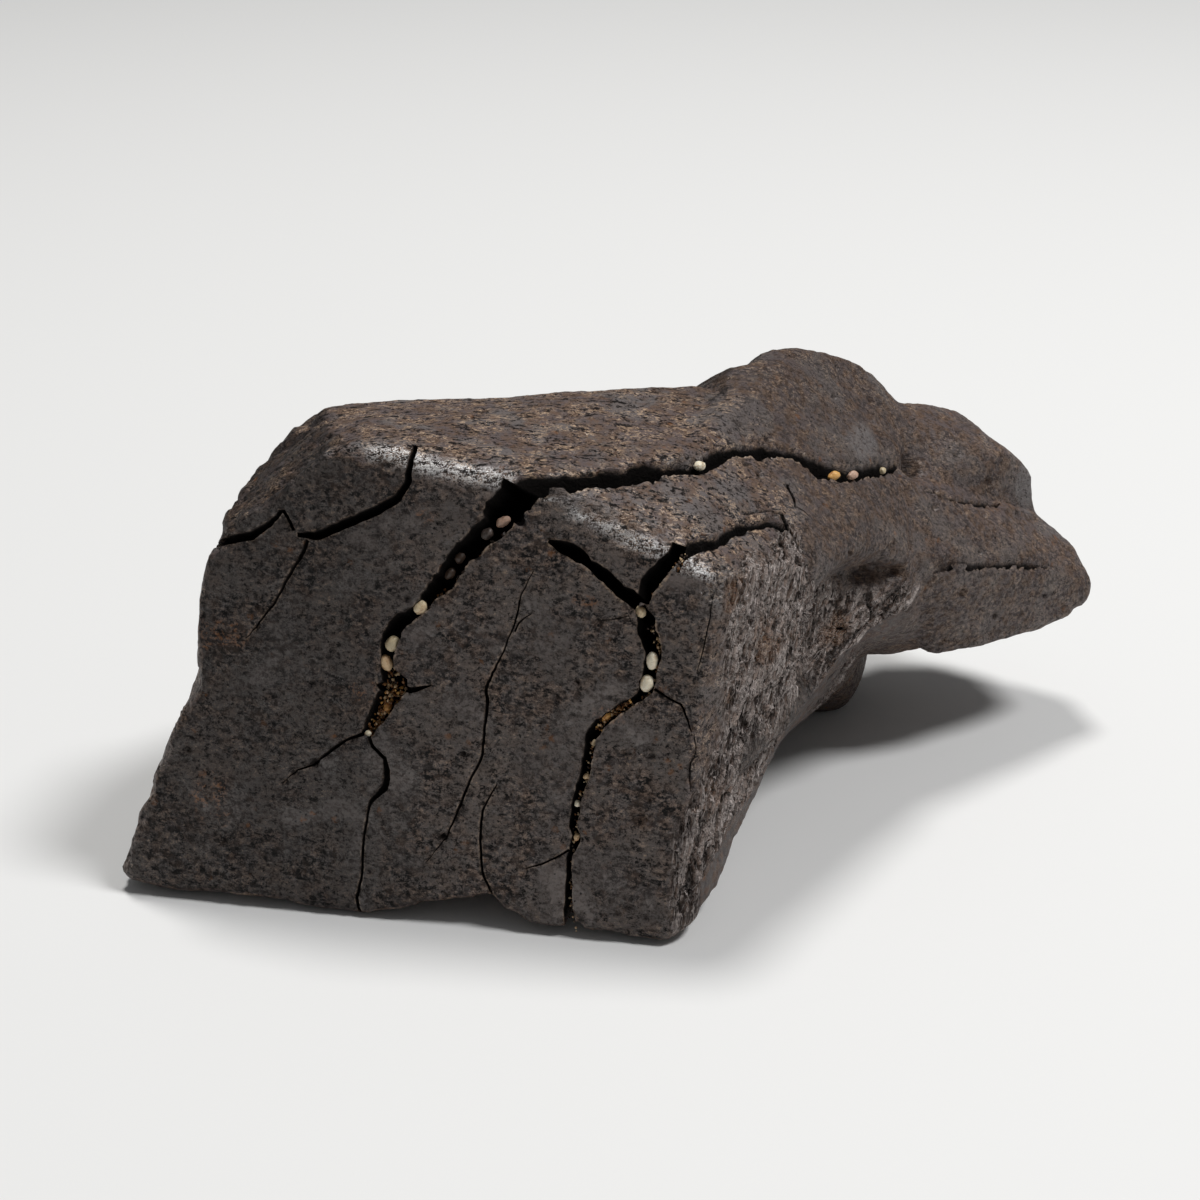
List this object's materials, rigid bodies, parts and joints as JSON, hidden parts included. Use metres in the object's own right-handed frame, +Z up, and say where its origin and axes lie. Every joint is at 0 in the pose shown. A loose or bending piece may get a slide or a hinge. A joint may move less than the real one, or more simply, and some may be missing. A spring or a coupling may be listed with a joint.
{
  "type": "meteorite",
  "caption": "Dark, desert-varnished stony meteorite with a broad cracked front face, a sloping top, a scooped right wall and a raised tail; pale sand grains are lodged in its open cracks.",
  "frame": {"origin": "middle of the bounding box in X and Y, on the resting plane", "axes": "+X to the right along the broad cracked front face, +Y to the back, +Z up; the front face looks towards -Y"},
  "size_m": [0.0838, 0.0604, 0.0412],
  "materials": {
    "stone": "satin desert varnish, dark brown-grey, smoother on the front face and finely fibrous on top",
    "sand_pale": "rounded, matt, white to cream quartz grains",
    "sand_warm": "rounded, matt, tan, orange, pink and olive grains",
    "sand_dark": "rounded, matt, brown and grey grains deep in the crack"
  },
  "bodies": {
    "root": {"stone": "stone", "sand_grain_front_01": "sand_warm", "sand_grain_front_02": "sand_dark", "sand_grain_front_03": "sand_dark", "sand_grain_front_04": "sand_dark", "sand_grain_front_05": "sand_pale", "sand_grain_front_06": "sand_warm", "sand_grain_front_07": "sand_warm", "sand_grain_front_08": "sand_warm", "sand_grain_front_09": "sand_pale", "sand_grain_front_10": "sand_pale", "sand_grain_front_11": "sand_pale", "sand_grain_front_12": "sand_pale", "sand_grain_front_13": "sand_warm", "sand_grain_front_14": "sand_pale", "sand_grain_front_15": "sand_warm", "sand_grain_front_16": "sand_pale", "sand_grain_front_17": "sand_warm", "sand_grain_top_01": "sand_pale", "sand_grain_top_02": "sand_warm", "sand_grain_top_03": "sand_warm", "sand_grain_top_04": "sand_warm"}
  },
  "joints": []
}
